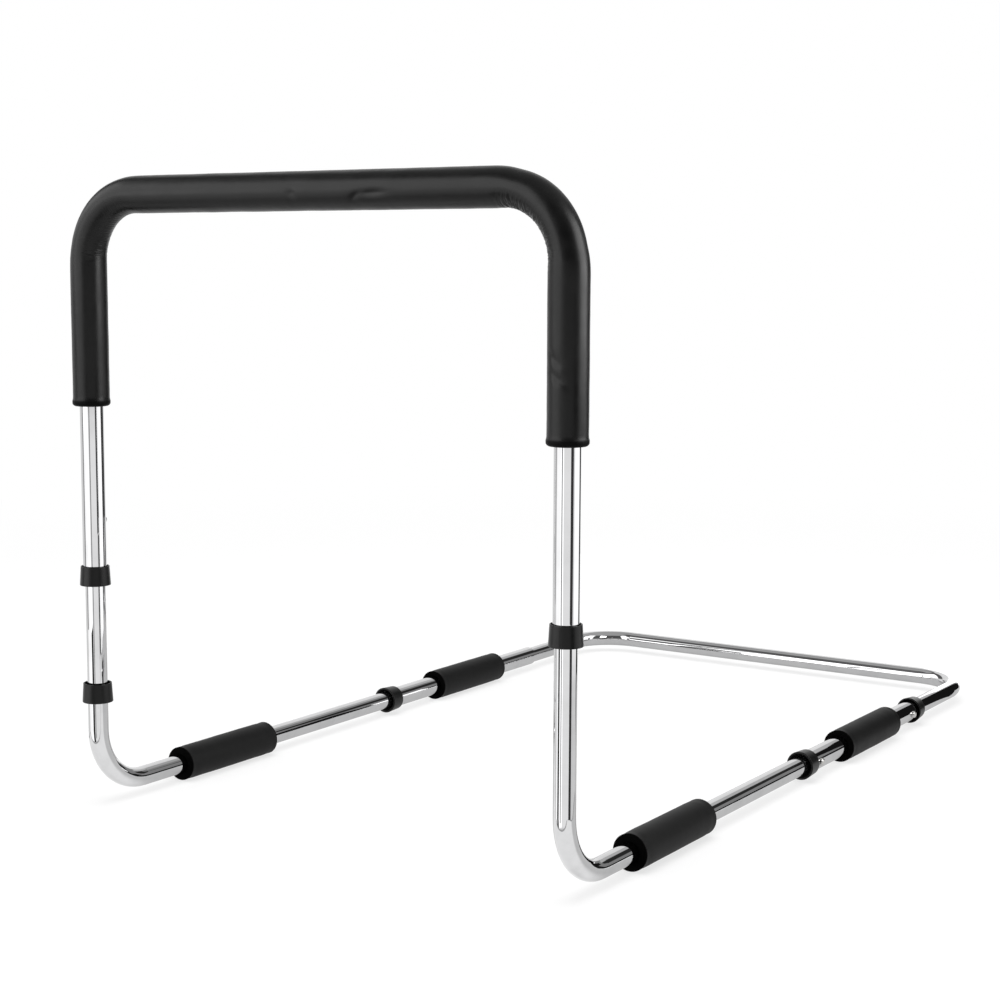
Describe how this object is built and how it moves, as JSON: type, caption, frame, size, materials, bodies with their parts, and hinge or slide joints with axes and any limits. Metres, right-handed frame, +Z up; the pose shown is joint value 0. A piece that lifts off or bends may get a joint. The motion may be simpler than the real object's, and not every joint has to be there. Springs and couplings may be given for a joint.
{
  "type": "bed assist rail",
  "caption": "Bed assist rail: a foam-padded hoop handle that adjusts in height on chrome legs whose long arms slide under a mattress and join a rear frame.",
  "frame": {"origin": "middle of the bottom of the bounding box, on the bed base under the middle of the frame", "axes": "+Z up, +Y from the upright hoop under the mattress towards the rear crossbar, +X to the right seen from the room"},
  "size_m": [0.5562, 0.9645, 0.5974],
  "materials": {
    "chrome_tube": "bright chrome plate on round steel tube",
    "grip_foam": "satin black closed-cell foam, slightly crinkled in the bends",
    "sleeve_foam": "smooth matt black closed-cell foam with cut ends",
    "collar_plastic": "satin black moulded plastic",
    "button_steel": "polished plated steel dome",
    "spring_steel": "plain spring steel strip"
  },
  "bodies": {
    "leg_frame": {"left_leg_tube": "chrome_tube", "right_leg_tube": "chrome_tube", "left_front_foam": "sleeve_foam", "right_front_foam": "sleeve_foam", "left_leg_leaf_spring": "spring_steel", "right_leg_leaf_spring": "spring_steel", "left_front_leaf_spring": "spring_steel", "right_front_leaf_spring": "spring_steel"},
    "handle": {"handle_tube": "chrome_tube", "handle_foam_grip": "grip_foam", "left_leg_collar": "collar_plastic", "right_leg_collar": "collar_plastic"},
    "left_mid": {"left_mid_tube": "chrome_tube", "left_mid_foam": "sleeve_foam", "left_mid_front_collar": "collar_plastic"},
    "right_mid": {"right_mid_tube": "chrome_tube", "right_mid_foam": "sleeve_foam", "right_mid_front_collar": "collar_plastic", "right_mid_rear_collar": "collar_plastic"},
    "rear_frame": {"rear_frame_tube": "chrome_tube", "left_rear_leaf_spring": "spring_steel", "right_rear_leaf_spring": "spring_steel"},
    "spare_collar": {"left_loose_collar": "collar_plastic"},
    "left_leg_button": {"left_leg_snap_button": "button_steel"},
    "right_leg_button": {"right_leg_snap_button": "button_steel"},
    "left_front_button": {"left_front_snap_button": "button_steel"},
    "right_front_button": {"right_front_snap_button": "button_steel"},
    "left_rear_button": {"left_rear_snap_button": "button_steel"},
    "right_rear_button": {"right_rear_snap_button": "button_steel"}
  },
  "joints": [
    {"name": "handle_height", "type": "slide", "parent": "leg_frame", "child": "handle", "axis": [0, 0, 1], "range_m": [-0.0762, 0.0254], "stiffness_N_per_m": 8000, "deforming": ["left_leg_snap_button", "right_leg_snap_button"]},
    {"name": "left_mid_pull_out", "type": "slide", "parent": "leg_frame", "child": "left_mid", "axis": [0, 1, 0], "range_m": [0, 0.075], "stiffness_N_per_m": 4000, "deforming": ["left_front_snap_button"]},
    {"name": "right_mid_pull_out", "type": "slide", "parent": "leg_frame", "child": "right_mid", "axis": [0, 1, 0], "range_m": [0, 0.075], "stiffness_N_per_m": 4000, "deforming": ["right_front_snap_button"]},
    {"name": "rear_frame_pull_out", "type": "slide", "parent": "left_mid", "child": "rear_frame", "axis": [0, 1, 0], "range_m": [0, 0.08], "stiffness_N_per_m": 4000, "deforming": ["left_rear_snap_button", "right_rear_snap_button"]},
    {"name": "spare_collar_slide", "type": "slide", "parent": "leg_frame", "child": "spare_collar", "axis": [0, 0, 1], "range_m": [-0.02, 0.012], "stiffness_N_per_m": 200},
    {"name": "left_leg_button_press", "type": "slide", "parent": "leg_frame", "child": "left_leg_button", "axis": [0, -1, 0], "range_m": [0, 0.0048], "stiffness_N_per_m": 1000, "deforming": ["left_leg_leaf_spring"]},
    {"name": "right_leg_button_press", "type": "slide", "parent": "leg_frame", "child": "right_leg_button", "axis": [0, -1, 0], "range_m": [0, 0.0048], "stiffness_N_per_m": 1000, "deforming": ["right_leg_leaf_spring"]},
    {"name": "left_front_button_press", "type": "slide", "parent": "leg_frame", "child": "left_front_button", "axis": [1, 0, 0], "range_m": [0, 0.0048], "stiffness_N_per_m": 1000, "deforming": ["left_front_leaf_spring"]},
    {"name": "right_front_button_press", "type": "slide", "parent": "leg_frame", "child": "right_front_button", "axis": [-1, 0, 0], "range_m": [0, 0.0048], "stiffness_N_per_m": 1000, "deforming": ["right_front_leaf_spring"]},
    {"name": "left_rear_button_press", "type": "slide", "parent": "rear_frame", "child": "left_rear_button", "axis": [1, 0, 0], "range_m": [0, 0.0048], "stiffness_N_per_m": 1000, "deforming": ["left_rear_leaf_spring"]},
    {"name": "right_rear_button_press", "type": "slide", "parent": "rear_frame", "child": "right_rear_button", "axis": [-1, 0, 0], "range_m": [0, 0.0048], "stiffness_N_per_m": 1000, "deforming": ["right_rear_leaf_spring"]}
  ],
  "couplings": [
    {"joint": "right_mid_pull_out", "follows": "left_mid_pull_out", "ratio": 1}
  ]
}
